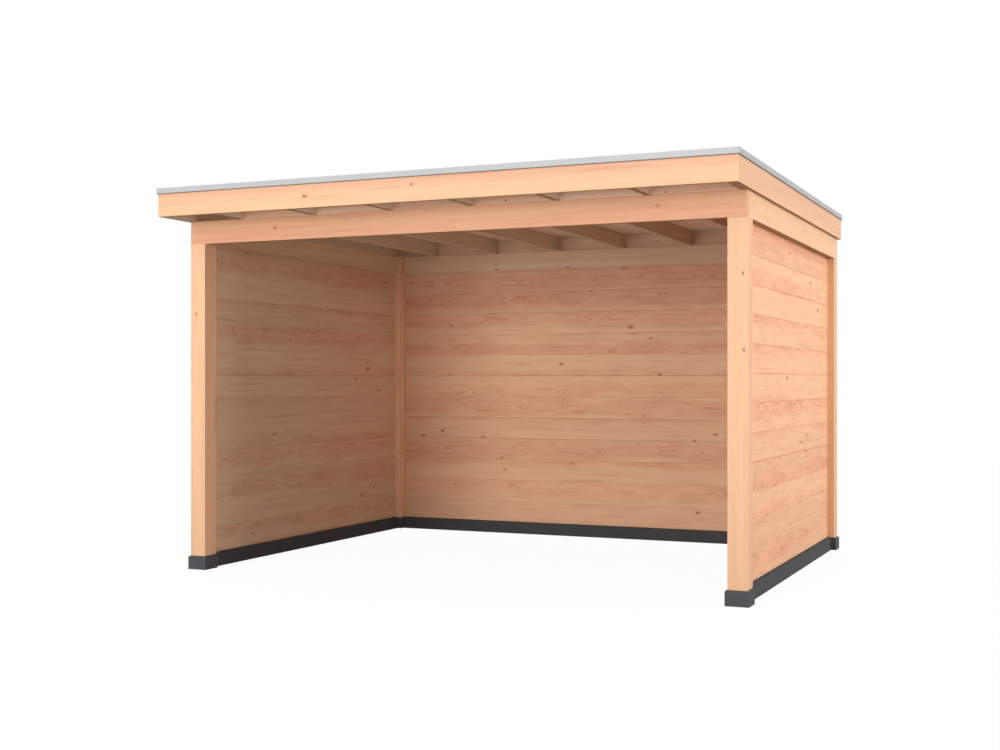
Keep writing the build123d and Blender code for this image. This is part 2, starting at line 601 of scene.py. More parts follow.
class Shape:
    """A mesh under construction from closed solids, with grain and tint for the timbers."""

    def __init__(self) -> None:
        """Start with nothing."""
        self.points: list[Point] = []
        self.faces: list[tuple[int, ...]] = []
        self.grain: list[Point] = []
        self.tint: list[float] = []

    def loft(self, rings: Rings, grain: Rings | None = None, tint: float = 0.0) -> None:
        """Add a closed solid through a row of rings.

        Args:
            rings: the rings' points, the same number in each.
            grain: the same points along, across and through their log.
            tint: the timber's tint.
        """
        base, size = len(self.points), len(rings[0])
        for number, ring in enumerate(rings):
            self.points.extend(ring)
            self.grain.extend(grain[number] if grain else ring)
            self.tint.extend([tint] * size)
        for row in range(len(rings) - 1):
            low = base + row * size
            for i in range(size):
                j = (i + 1) % size
                self.faces.append((low + i, low + j, low + size + j, low + size + i))
        self.faces.append(tuple(base + i for i in reversed(range(size))))
        self.faces.append(tuple(base + (len(rings) - 1) * size + i for i in range(size)))

    def timber(
        self,
        low: Sequence[float],
        high: Sequence[float],
        lie: Lie,
        cut: Cut,
        shift: float = 0.0,
        profile: Profile | None = None,
        mitre: tuple[float, float] = (0.0, 0.0),
        ease: float = 0.0025,
        step: float = 0.15,
    ) -> None:
        """Add a straight timber between two corners.

        Args:
            low: the lowest corner.
            high: the highest corner.
            lie: how the timber lies.
            cut: how it was sawn.
            shift: where along its log it starts.
            profile: its section across and through, from its low corner; an eased rectangle if not given.
            mitre: how fast each end draws in, per distance through from the low and from the high face.
            ease: the radius of its edges.
            step: the distance between its rings.
        """
        a, b, c = lie.value
        length, width, depth = high[a] - low[a], high[b] - low[b], high[c] - low[c]
        section = profile or eased_rectangle(width, depth, ease)
        count = max(2, round(length / step))
        shares = [0.0, ease / length, *(i / count for i in range(1, count)), 1 - ease / length, 1.0]
        rings, grain = [], []
        for number, share in enumerate(shares):
            drawn = ease * END_DRAW if number in (0, len(shares) - 1) else 0.0
            ring, logs = [], []
            for x, y in section:
                x = x + drawn * (1 - 2 * x / width)
                y = y + drawn * (1 - 2 * y / depth)
                cut_in = mitre[0] * y if mitre[0] > 0 else -mitre[1] * (depth - y)
                along = cut_in + share * (length - 2 * cut_in)
                ring.append(lie.place(low[a] + along, low[b] + x, low[c] + y))
                through = y - depth / 2 + cut.pith_through
                logs.append((along + shift, x - cut.pith_across, through))
            rings.append(ring)
            grain.append(logs)
        self.loft(rings, grain, cut.tint)

    def mesh(self, name: str) -> Mesh:
        """Finish the mesh, with its attributes and its faces outwards.

        Args:
            name: the mesh's name.

        Returns:
            The mesh.
        """
        mesh = bpy.data.meshes.new(name)
        mesh.from_pydata(self.points, [], self.faces)
        store(mesh, "grain", "FLOAT_VECTOR", np.array(self.grain, np.float32))
        store(mesh, "tint", "FLOAT", np.array(self.tint, np.float32))
        face_outwards(mesh)
        return mesh


def store(mesh: Mesh, name: str, kind: str, values: np.ndarray, domain: str = "POINT") -> None:
    """Write an attribute of a mesh.

    Args:
        mesh: the mesh.
        name: the attribute's name.
        kind: FLOAT or FLOAT_VECTOR.
        values: one row for each element.
        domain: POINT or CORNER.
    """
    found = mesh.attributes.get(name)
    attribute = found or mesh.attributes.new(name, kind, domain)
    field = "vector" if kind == "FLOAT_VECTOR" else "value"
    attribute.data.foreach_set(field, values.astype(np.float32).ravel())


def fetch(mesh: Mesh, name: str, width: int) -> np.ndarray:
    """Read an attribute of a mesh.

    Args:
        mesh: the mesh.
        name: the attribute's name.
        width: how many numbers each element has.

    Returns:
        One row for each element.
    """
    data = mesh.attributes[name].data
    values = np.empty(len(data) * width, np.float32)
    data.foreach_get("vector" if width == 3 else "value", values)
    return values.reshape(-1, width)


def face_outwards(mesh: Mesh) -> None:
    """Turn every face of the closed solids in a mesh outwards.

    Args:
        mesh: the mesh.
    """
    work = bmesh.new()
    work.from_mesh(mesh)
    bmesh.ops.recalc_face_normals(work, faces=work.faces)
    work.to_mesh(mesh)
    work.free()


def mark_knots(mesh: Mesh, lie: Lie, knots: Sequence[Knot]) -> None:
    """Give each face its nearest knot, as a place on the knot's own oval.

    Args:
        mesh: the mesh of the timbers.
        lie: how they lie.
        knots: the knots, in the frame's own coordinates.
    """
    corners = np.full((len(mesh.loops), 3), FAR_FROM_KNOTS, np.float32)
    if knots:
        places = np.array([v.co for v in mesh.vertices])[:, list(lie.value[:2])]
        spots = np.array([(k.along, k.across) for k in knots])
        halves = np.array([(k.length / 2, k.height / 2) for k in knots])
        for face in mesh.polygons:
            own = places[list(face.vertices)]
            gap = (own.mean(0) - spots) * KNOT_WEIGHTS
            near = int(np.argmin((gap * gap).sum(1)))
            loops = slice(face.loop_start, face.loop_start + face.loop_total)
            corners[loops, :2] = (own - spots[near]) / halves[near]
            corners[loops, 2] = halves[near][1]
    store(mesh, "knot", "FLOAT_VECTOR", corners, "CORNER")


def piece_of(name: str, mesh: Mesh) -> Piece:
    """Make an object of a mesh, at the origin.

    Args:
        name: the object's name.
        mesh: the mesh.

    Returns:
        The object.
    """
    piece = bpy.data.objects.new(name, mesh)
    bpy.context.scene.collection.objects.link(piece)
    return piece


def settle(piece: Piece, slot: str, *nodes: str) -> Piece:
    """Tie a finished piece to the frame and report it.

    Args:
        piece: the piece.
        slot: not used.
        nodes: the nodes that it stands for.

    Returns:
        The same piece.
    """
    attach(piece, BODY)
    if nodes:
        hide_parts(*nodes)
    LOG.info("%s: %d faces", piece.name, len(piece.data.polygons))
    return piece


def timber_piece(
    name: str, mesh: Mesh, lie: Lie, knots: Sequence[Knot], finish: Material, slot: str, *nodes: str
) -> Piece:
    """Make a piece of a mesh of timbers and tie it to the frame.

    Args:
        name: the piece's name.
        mesh: the timbers.
        lie: how they lie.
        knots: their knots.
        finish: their material.
        slot: the material slot.
        nodes: the nodes that the piece stands for.

    Returns:
        The piece.
    """
    mark_knots(mesh, lie, knots)
    mesh.materials.append(finish)
    return settle(piece_of(name, mesh), slot, *nodes)


def one_timber(name: str, size: Point, lie: Lie, **form: Any) -> Mesh:
    """Make one timber from its own corner, for a run of like timbers.

    Args:
        name: the mesh's name.
        size: its size on each axis.
        lie: how it lies.
        form: its profile, ease and step, as Shape.timber takes them.

    Returns:
        The timber's mesh.
    """
    shape = Shape()
    shape.timber(ORIGIN, size, lie, Cut(0.0, 0.0), **form)
    return shape.mesh(name)


def drawn_cuts(seed: int, count: int, across: Span, through: Span, tint: Span) -> list[Cut]:
    """Draw how each timber of a run was sawn.

    Args:
        seed: the draw's seed.
        count: how many timbers there are.
        across: the limits of the pith across the face.
        through: the limits of the pith behind the timber's middle.
        tint: the limits of the tint.

    Returns:
        One cut for each timber.
    """
    draw = random.Random(seed)
    return [Cut(*(draw.uniform(*span) for span in (across, through, tint))) for _ in range(count)]


def plain_mesh(carrier: Piece) -> None:
    """Replace an object's live modifiers by the mesh that they make.

    Args:
        carrier: the object.
    """
    deps = bpy.context.evaluated_depsgraph_get()
    made = bpy.data.meshes.new_from_object(
        carrier.evaluated_get(deps), preserve_all_data_layers=True, depsgraph=deps
    )
    carrier.modifiers.clear()
    carrier.data = made


class NodeKit:
    """Geometry Nodes trees that set out timbers and screws."""

    trees: dict[str, Tree] = {}

    @classmethod
    def open(cls, name: str, inputs: Sequence[tuple[str, str]]) -> tuple[Tree, Graph, dict[str, Any]]:
        """Start a tree with named inputs.

        Args:
            name: the tree's name.
            inputs: the inputs' names and kinds, after the geometry.

        Returns:
            The tree, its graph and its input sockets by name.
        """
        tree = bpy.data.node_groups.new(name, "GeometryNodeTree")
        graph = Graph(tree)
        tree.interface.new_socket("Geometry", in_out="INPUT", socket_type="NodeSocketGeometry")
        for label, kind in inputs:
            tree.interface.new_socket(label, in_out="INPUT", socket_type="NodeSocket" + kind)
        tree.interface.new_socket("Geometry", in_out="OUTPUT", socket_type="NodeSocketGeometry")
        cls.trees[name] = tree
        entry = graph.add("NodeGroupInput")
        return tree, graph, {s.name: s for s in entry.outputs if s.name}

    @staticmethod
    def spread(g: Graph, points: Socket, instance: Socket, turn: Socket | None = None) -> Socket:
        """Put a copy of a shape on each point and make the copies real.

        Args:
            g: the tree's graph.
            points: the points.
            instance: the shape.
            turn: the turn of each copy.

        Returns:
            The copies' geometry.
        """
        parts = {"Points": points, "Instance": instance}
        if turn is not None:
            parts["Rotation"] = turn
        laid = g.add("GeometryNodeInstanceOnPoints", parts)
        return g.add("GeometryNodeRealizeInstances", {"Geometry": laid.outputs[0]}).outputs[0]

    @staticmethod
    def close(g: Graph, geometry: Socket, finish: Socket) -> None:
        """Give the geometry its material and lead it out of the tree."""
        dressed = g.add("GeometryNodeSetMaterial", {"Geometry": geometry, "Material": finish})
        g.add("NodeGroupOutput", {"Geometry": dressed.outputs[0]})

    @classmethod
    def timbers(cls) -> Tree:
        """Set out like timbers at an even pitch, each cut from its own log.

        Returns:
            The tree that does it.
        """
        name = "set_out_timbers"
        if name in cls.trees:
            return cls.trees[name]
        kinds = (("First", "Vector"), ("Pitch", "Vector"), ("Unevenness", "Vector"), ("Seed", "Int"),
                 ("Timber", "Object"), ("Finish", "Material"))
        tree, g, given = cls.open(name, kinds)
        steps = g.scale(given["Pitch"], g.add("GeometryNodeInputIndex").outputs[0])
        most = given["Unevenness"]
        limits = {"Min": g.scale(most, -1.0), "Max": most, "Seed": given["Seed"]}
        stray = g.add("FunctionNodeRandomValue", limits, data_type="FLOAT_VECTOR").outputs[0]
        offset = g.vector("ADD", g.vector("ADD", given["First"], steps), stray)
        spots = g.add("GeometryNodeSetPosition", {"Geometry": given["Geometry"], "Offset": offset})
        source = g.add("GeometryNodeObjectInfo", {"Object": given["Timber"]})
        solid = cls.spread(g, spots.outputs[0], source.outputs["Geometry"])
        grain = g.vector("ADD", g.named("grain"), g.named("log"))
        shade = g.named("board_tint", "FLOAT")
        for label, value, kind in (("grain", grain, "FLOAT_VECTOR"), ("tint", shade, "FLOAT")):
            parts = {"Geometry": solid, "Name": label, "Value": value}
            kept = g.add("GeometryNodeStoreNamedAttribute", parts, data_type=kind, domain="POINT")
            solid = kept.outputs[0]
        cls.close(g, solid, given["Finish"])
        return tree

    @classmethod
    def screws(cls) -> Tree:
        """Run a row of screws upwards from each point.

        Returns:
            The tree that does it.
        """
        kinds = (("Count", "Int"), ("Pitch", "Float"), ("Seed", "Int"), ("Screw", "Object"),
                 ("Finish", "Material"))
        tree, g, given = cls.open("screw_rows", kinds)
        rise = g.join(0.0, 0.0, given["Pitch"])
        row = g.add("GeometryNodeMeshLine", {"Count": given["Count"], "Offset": rise})
        spots = cls.spread(g, given["Geometry"], row.outputs[0])
        euler = g.add("FunctionNodeEulerToRotation", {"Euler": g.named("turn")})
        limits = {"Max_001": math.tau, "Seed": given["Seed"]}
        spun = g.add("FunctionNodeRandomValue", limits, data_type="FLOAT").outputs[1]
        spin = g.add("FunctionNodeEulerToRotation", {"Euler": g.join(0.0, 0.0, spun)})
        turns = {"Rotation": euler.outputs[0], "Rotate By": spin.outputs[0]}
        both = g.add("FunctionNodeRotateRotation", turns, rotation_space="LOCAL")
        source = g.add("GeometryNodeObjectInfo", {"Object": given["Screw"]})
        solid = cls.spread(g, spots, source.outputs["Geometry"], both.outputs[0])
        cls.close(g, solid, given["Finish"])
        return tree

    @staticmethod
    def run(piece: Piece, tree: Tree, values: dict[str, Any]) -> None:
        """Run a tree on a piece and keep its mesh.

        Args:
            piece: the object that holds the points.
            tree: the tree.
            values: the inputs' values by name.
        """
        modifier = piece.modifiers.new(tree.name, "NODES")
        modifier.node_group = tree
        for item in tree.interface.items_tree:
            if item.in_out == "INPUT" and item.name in values:
                modifier[item.identifier] = values[item.name]
        plain_mesh(piece)


@dataclass
class SetOut:
    """A run of like timbers: where the first lies, the step to the next and how each was cut."""

    first: Point
    pitch: Point
    cuts: Sequence[Cut]
    seed: int
    unevenness: Point = ORIGIN
    extra: Sequence[Point] = ()

    def lay(self, name: str, timber: Mesh, finish: Material) -> Piece:
        """Lay the timbers.

        Args:
            name: the piece's name.
            timber: one timber, from its own corner.
            finish: the timbers' material.

        Returns:
            The piece, with all timbers in one mesh.
        """
        draw = random.Random(self.seed)
        mesh = bpy.data.meshes.new(name)
        mesh.from_pydata(list(self.extra) or [ORIGIN] * len(self.cuts), [], [])
        logs = [(draw.uniform(0.0, LOG_LENGTH), -cut.pith_across, cut.pith_through) for cut in self.cuts]
        store(mesh, "log", "FLOAT_VECTOR", np.array(logs))
        store(mesh, "board_tint", "FLOAT", np.array([cut.tint for cut in self.cuts]))
        store(mesh, "board", "FLOAT", np.arange(len(self.cuts)))
        piece = piece_of(name, mesh)
        source = piece_of(name + "_one", timber)
        NodeKit.run(piece, NodeKit.timbers(), {
            "First": self.first, "Pitch": self.pitch, "Unevenness": self.unevenness,
            "Seed": self.seed, "Timber": source, "Finish": finish,
        })
        bpy.data.objects.remove(source)
        return piece


@dataclass
class Base:
    """Concrete feet under the posts and plinths under the walls."""

    chamfer: float = 0.011
    ease: float = 0.004
    foot_finish: ConcreteFinish = ConcreteFinish("foot_concrete", tone(62, 63, 65), tone(87, 89, 90))
    plinth_finish: ConcreteFinish = ConcreteFinish("plinth_concrete", tone(52, 53, 56), tone(75, 77, 79))

    # How far below the top each ring of a chamfer lies and how far in, as shares of its width
    CHAMFER_STEPS = ((1.0, 0.0), (0.4, 0.35), (0.0, 1.0))

    def build(self) -> list[Piece]:
        """Cast the feet and the plinths.

        Returns:
            The two pieces.
        """
        feet = [f"foot_{row}_{side}" for row in ROWS for side in SIDES]
        plinths = ["plinth_left", "plinth_back", "plinth_right"]
        return [
            self.cast("concrete_feet", feet, self.chamfer, self.foot_finish),
            self.cast("concrete_plinths", plinths, self.ease, self.plinth_finish),
        ]

    def cast(self, name: str, nodes: list[str], chamfer: float, finish: ConcreteFinish) -> Piece:
        """Cast blocks with chamfered tops, one for each node.

        Args:
            name: the piece's name.
            nodes: the nodes.
            chamfer: the width of the chamfer round the top.
            finish: the blocks' finish.

        Returns:
            The piece.
        """
        shape = Shape()
        for node in nodes:
            low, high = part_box(node)
            size = high - low
            rings = []
            for drop, share in self.CHAMFER_STEPS:
                level, inset = size.z - chamfer * drop, chamfer * share
                outline = eased_rectangle(size.x - 2 * inset, size.y - 2 * inset, self.ease)
                rings.append([(low.x + inset + x, low.y + inset + y, low.z + level) for x, y in outline])
            foot = [(x, y, low.z) for x, y, _ in rings[0]]
            shape.loft([foot, *rings])
        piece = piece_of(name, shape.mesh(name))
        piece.data.materials.append(finish.material())
        return settle(piece, "concrete", *nodes)


@dataclass
class PostFrame:
    """Four notched posts and the ring beams round their heads."""

    ease: float = 0.003
    cut_step: float = 0.18
    post_finish: TimberFinish = TimberFinish(
        "post_wood", sapwood=tone(229, 181, 143), heartwood=tone(225, 166, 131), knot=PALE_KNOT, ring=0.012,
        line_strength=0.20, flush_strength=0.15,
    )
    post_start: float = 3.0
    post_step: float = 7.3
    beam_start: float = 2.1
    beam_step: float = 9.7
    beam_finish: TimberFinish = TimberFinish(
        "beam_wood", knot=PALE_KNOT, ring=0.012, figure=0.03, line_strength=0.28, flush_strength=0.25,
        stain_and_shade=UNDERSIDE_SHADE,
    )
    # The front beam's darker colour is partly the wood's own and partly painted shade from the roof's
    # overhang
    front_beam_finish: TimberFinish = TimberFinish(
        "beam_wood_warm", sapwood=tone(225, 173, 136), heartwood=tone(221, 160, 126), knot=PALE_KNOT,
        ring=0.012, figure=0.03, line_strength=0.28, flush_strength=0.25, stain_and_shade=UNDERSIDE_SHADE,
    )
    # The back and left beams' paler, greyer colour is partly the wood's own and partly painted light, fitted
    # to the light inside the cover
    back_beam_finish: TimberFinish = TimberFinish(
        "beam_wood_pale", sapwood=tone(230, 199, 168), heartwood=tone(224, 188, 156), ring=0.012,
        figure=0.02, line_strength=0.14, flush_strength=0.10, stain_and_shade=UNDERSIDE_SHADE,
    )

    POST_CUTS = {
        "front_left": Cut(0.02, 0.15, 0.35),
        "front_right": Cut(0.150, 0.10, 0.30),
        "back_left": Cut(0.03, 0.12, 0.55),
        "back_right": Cut(0.10, 0.14, 0.45),
    }
    POST_KNOTS = {
        "front_left": [Knot(1.80, -1.940, 0.032, 0.018)],
        "front_right": [Knot(1.960, 1.962, 0.030, 0.018), Knot(1.510, 1.966, 0.032, 0.018)],
        "back_left": [Knot(0.82, -1.95, 0.03, 0.02), Knot(1.71, -1.90, 0.03, 0.02)],
        "back_right": [Knot(0.55, 1.92, 0.03, 0.02), Knot(1.88, 1.95, 0.03, 0.02)],
    }
    BEAM_CUTS = {
        "front": Cut(0.02, 0.10, 0.70),
        "back": Cut(0.10, 0.09, 0.50),
        "left": Cut(0.12, 0.08, 0.50),
        "right": Cut(0.15, 0.10, 0.35),
    }
    BEAM_KNOTS = {
        "front": [Knot(1.439, 2.383, 0.040, 0.024), Knot(-1.285, 2.377, 0.038, 0.024),
                  Knot(1.571, 2.302, 0.030, 0.012)],
        "back": [Knot(-0.954, 2.310, 0.036, 0.020), Knot(-0.280, 2.306, 0.034, 0.018)],
        "left": [],
        "right": [Knot(0.31, 2.38, 0.034, 0.016)],
    }

    def build(self) -> list[Piece]:
        """Make the posts and the beams.

        Returns:
            Eight pieces.
        """
        made = []
        finish = self.post_finish.material()
        for number, (corner, cut) in enumerate(self.POST_CUTS.items()):
            node = f"post_{corner}"
            mesh = self.post(node, cut, self.post_start + self.post_step * number)
            knots = self.POST_KNOTS[corner]
            made.append(timber_piece(f"timber_{node}", mesh, Lie.UPRIGHT, knots, finish, "post_timber", node))
        pale = self.back_beam_finish.material()
        finishes = {
            "front": self.front_beam_finish.material(), "back": pale,
            "left": pale, "right": self.beam_finish.material(),
        }
        for number, (side, cut) in enumerate(self.BEAM_CUTS.items()):
            lie = Lie.FRONT if side in ROWS else Lie.SIDE
            node, knots = f"beam_{side}", self.BEAM_KNOTS[side]
            start = self.beam_start + self.beam_step * number
            shape = Shape()
            shape.timber(*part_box(f"beam_{side}"), lie, cut, start, ease=self.ease, step=self.cut_step)
            mesh = shape.mesh(node)
            made.append(timber_piece(f"ring_{node}", mesh, lie, knots, finishes[side], "beam_timber", node))
        return made

    def post(self, node: str, cut: Cut, shift: float) -> Mesh:
        """Make one post, its head notched on its two outer faces for the beams.

        Args:
            node: the post's node.
            cut: how it was sawn.
            shift: where along its log it starts.

        Returns:
            The post's mesh.
        """
        low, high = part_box(node)
        notch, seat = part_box("beam_front")[1].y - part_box("beam_front")[0].y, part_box("beam_front")[0].z
        size = high.x - low.x
        outer_x, way_x = (low.x, 1.0) if low.x < 0 else (high.x, -1.0)
        outer_y, way_y = (low.y, 1.0) if low.y < 0 else (high.y, -1.0)
        plan = {
            "a": (0.0, 0.0), "b": (size, 0.0), "c": (size, size), "d": (0.0, size),
            "e": (notch, notch), "f": (size, notch), "g": (notch, size),
        }
        levels = (low.z, seat, high.z)
        work = bmesh.new()
        spots = {}
        for label in ("a0", "b0", "c0", "d0", "a1", "b1", "d1", "e1", "f1", "g1", "e2", "f2", "c2", "g2"):
            x, y = plan[label[0]]
            spots[label] = work.verts.new((outer_x + way_x * x, outer_y + way_y * y, levels[int(label[1])]))
        for face in ("a0 d0 c0 b0", "a0 b0 b1 a1", "a0 a1 d1 d0", "b0 c0 c2 f2 f1 b1", "c0 d0 d1 g1 g2 c2",
                     "a1 b1 f1 e1 g1 d1", "e1 f1 f2 e2", "e1 e2 g2 g1", "e2 f2 c2 g2"):
            work.faces.new([spots[label] for label in face.split()])
        bmesh.ops.recalc_face_normals(work, faces=work.faces)
        upright = [("a0", "a1"), ("b0", "b1"), ("d0", "d1"), ("c0", "c2")]
        edges = [work.edges.get((spots[p], spots[q])) for p, q in upright]
        bmesh.ops.bevel(work, geom=edges, offset=self.ease, segments=2, profile=0.5, affect="EDGES")
        level = low.z + self.cut_step
        while level < seat - self.cut_step / 2:
            bmesh.ops.bisect_plane(work, geom=work.verts[:] + work.edges[:] + work.faces[:],
                                   plane_co=(0.0, 0.0, level), plane_no=(0.0, 0.0, 1.0))
            level += self.cut_step
        mesh = bpy.data.meshes.new(node)
        work.to_mesh(mesh)
        work.free()
        pith_x, pith_y = low.x + cut.pith_across, low.y + size / 2 + cut.pith_through
        grain = [(v.co.z + shift, v.co.x - pith_x, v.co.y - pith_y) for v in mesh.vertices]
        store(mesh, "grain", "FLOAT_VECTOR", np.array(grain))
        store(mesh, "tint", "FLOAT", np.full(len(mesh.vertices), cut.tint))
        return mesh


@dataclass
class BoardedWall:
    """One wall of tongued and grooved boards, stacked on its plinth."""

    side: str
    cuts: Sequence[Cut]
    knots: Sequence[Knot]
    joints: Sequence[float]
    seed: int
    pitch: float = 0.182
    joint: float = 0.0012
    bevel: float = 0.0026
    joint_lift: float = 0.8
    tongue: float = 0.007
    groove_play: float = 0.0005
    groove_spare: float = 0.001
    end_gap: float = 0.001
    end_ease: float = 0.0012
    ring_step: float = 0.05
    unevenness: float = 0.0004
    crown_rise: float = 0.045
    crown_length: float = 0.22

    def profile(self, depth: float, spare: float) -> Profile:
        """Lay out a board's section: beveled arrises, a tongue above and a groove below.

        Args:
            depth: the board's thickness.
            spare: how far the tongue stands over the pitch.

        Returns:
            The section's points across and through, from the board's low corner.
        """
        top, low, high = self.pitch - self.joint, self.bevel, depth - self.bevel
        tongue, groove = self.tongue / 2, self.tongue / 2 + self.groove_play
        middle, reach, bottom = depth / 2, spare + self.joint, spare + self.groove_spare
        return [
            (self.bevel, 0.0), (top - self.bevel, 0.0), (top, low),
            (top, middle - tongue), (top + reach, middle - tongue), (top + reach, middle + tongue),
            (top, middle + tongue), (top, high), (top - self.bevel, depth), (self.bevel, depth),
            (0.0, high), (0.0, middle + groove), (bottom, middle + groove),
            (bottom, middle - groove), (0.0, middle - groove), (0.0, low),
        ]

    def build(self, finish: Material) -> Piece:
        """Saw one board and stack the wall from it.

        Args:
            finish: the boards' material.

        Returns:
            The wall.
        """
        low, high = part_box(f"wall_{self.side}")
        lie = Lie.FRONT if self.side == "back" else Lie.SIDE
        along, _, through = lie.value
        length = high[along] - low[along] - 2 * self.end_gap
        depth = high[through] - low[through]
        spare = high.z - low.z - len(self.cuts) * self.pitch
        board = one_timber(f"board_{self.side}", lie.place(length, self.pitch, depth), lie,
                           profile=self.profile(depth, spare), ease=self.end_ease, step=self.ring_step)
        start = lie.place(low[along] + self.end_gap, low.z, low[through])
        run = SetOut(start, (0.0, 0.0, self.pitch), self.cuts, self.seed,
                     unevenness=lie.place(0.0, 0.0, self.unevenness))
        piece = run.lay(f"wall_boards_{self.side}", board, finish)
        self.raise_crowns(piece.data, along)
        self.open_joints(piece.data, low, through, depth)
        mark_knots(piece.data, lie, self.knots)
        return settle(piece, "wall_boards", f"wall_{self.side}")

    def open_joints(self, mesh: Mesh, low: Vector, through: int, depth: float) -> None:
        """Open or close each joint, since no two boards swell alike.

        Args:
            mesh: the wall.
            low: the wall's low corner.
            through: the axis through its boards.
            depth: the boards' thickness.
        """
        places = np.array([v.co for v in mesh.vertices])
        board = fetch(mesh, "board", 1)[:, 0].round().astype(int)
        across = places[:, 2] - low.z - board * self.pitch
        level = places[:, through] - low[through]
        top, half = self.pitch - self.joint, self.bevel / 2
        shares = np.array((1.0, *self.joints, 1.0))
        outer = np.where(level < depth / 2, level, depth - level)
        way = np.where(level < depth / 2, -1.0, 1.0)
        face, arris = outer < half, np.abs(outer - self.bevel) < half
        above = (1 - shares[board + 1], top, top - self.bevel, 1.0, self.joint_lift * self.joint)
        below = (1 - shares[board], 0.0, self.bevel, -1.0, 0.0)
        for close, edge, inset, up, lift in (above, below):
            at_edge, at_inset = np.abs(across - edge) < half, np.abs(across - inset) < half
            rise, shift = lift * close, up * self.bevel * close
            places[:, 2] += np.where(arris & at_edge, rise, 0.0)
            places[:, 2] += np.where(face & at_inset, rise + shift, 0.0)
            places[:, through] += np.where(arris & at_edge, way * self.bevel * close, 0.0)
        mesh.vertices.foreach_set("co", places.ravel())
        mesh.update()

    def raise_crowns(self, mesh: Mesh, along: int) -> None:
        """Bring each board's log centre near its face at the crowns.

        Args:
            mesh: the wall.
            along: the axis along its boards.
        """
        grain, board = fetch(mesh, "grain", 3), fetch(mesh, "board", 1)[:, 0]
        places = np.array([v.co[along] for v in mesh.vertices])
        for number, cut in enumerate(self.cuts):
            own = np.isclose(board, number)
            for crown in cut.crowns:
                near = np.exp(-(((places[own] - crown) / self.crown_length) ** 2))
                grain[own, 2] -= self.crown_rise * near
        store(mesh, "grain", "FLOAT_VECTOR", grain)


@dataclass
class Battens:
    """Upright battens that hold the wall ends at the posts, with their screws."""

    ease: float = 0.002
    screw_radius: float = 0.0045
    screw_count: int = 6
    screw_margin: float = 0.12
    screw_sides: int = 12
    screw_seed: int = 7
    ring_step: float = 0.3
    seed: int = 41
    finish: TimberFinish = TimberFinish("batten_wood", ring=0.006)

    def nodes(self) -> list[str]:
        """Return the battens' nodes."""
        ends = [f"battens_{side}_{row}" for side in SIDES for row in ROWS]
        return ends + [f"battens_back_{side}" for side in SIDES]

    def pairs(self, node: str) -> list[tuple[Vector, Vector]]:
        """Split a node's box into its outer and inner batten.

        Args:
            node: the node.

        Returns:
            The low and the high corner of each batten.
        """
        low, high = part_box(node)
        wall = "wall_" + node.split("_")[1]
        face = 1 if wall == "wall_back" else 0
        wall_low, wall_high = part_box(wall)
        first, second = high.copy(), low.copy()
        first[face], second[face] = wall_low[face], wall_high[face]
        return [(low, first), (second, high)]

    def build(self) -> list[Piece]:
        """Make the battens and drive the screws.

        Returns:
            The battens and the screws.
        """
        draw = random.Random(self.seed)
        shape = Shape()
        spots, turns = [], []
        for node in self.nodes():
            wall = node.split("_")[1]
            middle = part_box(f"wall_{wall}")
            run = 0 if wall == "back" else 1
            for low, high in self.pairs(node):
                cut = Cut(draw.uniform(-0.06, 0.06), draw.uniform(0.04, 0.12), draw.uniform(0.25, 0.65))
                start = draw.uniform(0.0, LOG_LENGTH)
                shape.timber(low, high, Lie.UPRIGHT, cut, start, ease=self.ease, step=self.ring_step)
                way = 1.0 if low[run] < (middle[0][run] + middle[1][run]) / 2 else -1.0
                spot = (low + high) / 2
                spot[run] = high[run] if way > 0 else low[run]
                spot.z = low.z + self.screw_margin
                spots.append(tuple(spot))
                turns.append((0.0, way * math.pi / 2, 0.0) if run == 0 else (-way * math.pi / 2, 0.0, 0.0))
        battens = timber_piece("wall_battens", shape.mesh("wall_battens"), Lie.UPRIGHT, (),
                               self.finish.material(), "batten_timber", *self.nodes())
        low, high = self.pairs(self.nodes()[0])[0]
        pitch = (high.z - low.z - 2 * self.screw_margin) / (self.screw_count - 1)
        return [battens, self.drive(spots, turns, pitch)]

    def drive(self, spots: list[Point], turns: list[Point], pitch: float) -> Piece:
        """Drive a row of screws up each batten.

        Args:
            spots: the lowest screw of each row.
            turns: the turn that faces each row outwards.
            pitch: the distance between screws.

        Returns:
            The screws.
        """
        mesh = bpy.data.meshes.new("batten_screws")
        mesh.from_pydata(spots, [], [])
        store(mesh, "turn", "FLOAT_VECTOR", np.array(turns))
        piece = piece_of("batten_screws", mesh)
        source = piece_of("one_screw", self.screw())
        NodeKit.run(piece, NodeKit.screws(), {
            "Count": self.screw_count, "Pitch": pitch, "Seed": self.screw_seed, "Screw": source,
            "Finish": ScrewFinish().material(),
        })
        bpy.data.objects.remove(source)
        return settle(piece, "batten_timber")

    def screw(self) -> Mesh:
        """Turn one screw head with a round recess.

        Returns:
            The head's mesh.
        """
        shape = Shape()
        turns = [math.tau * i / self.screw_sides for i in range(self.screw_sides)]
        steps = ((0.45, -0.004), (0.98, -0.0004), (1.0, 0.0), (0.92, 0.0005), (0.36, 0.0006), (0.32, -0.0016))
        rings = []
        for share, height in steps:
            radius = share * self.screw_radius
            rings.append([(radius * math.cos(turn), radius * math.sin(turn), height) for turn in turns])
        shape.loft(rings)
        return shape.mesh("one_screw")


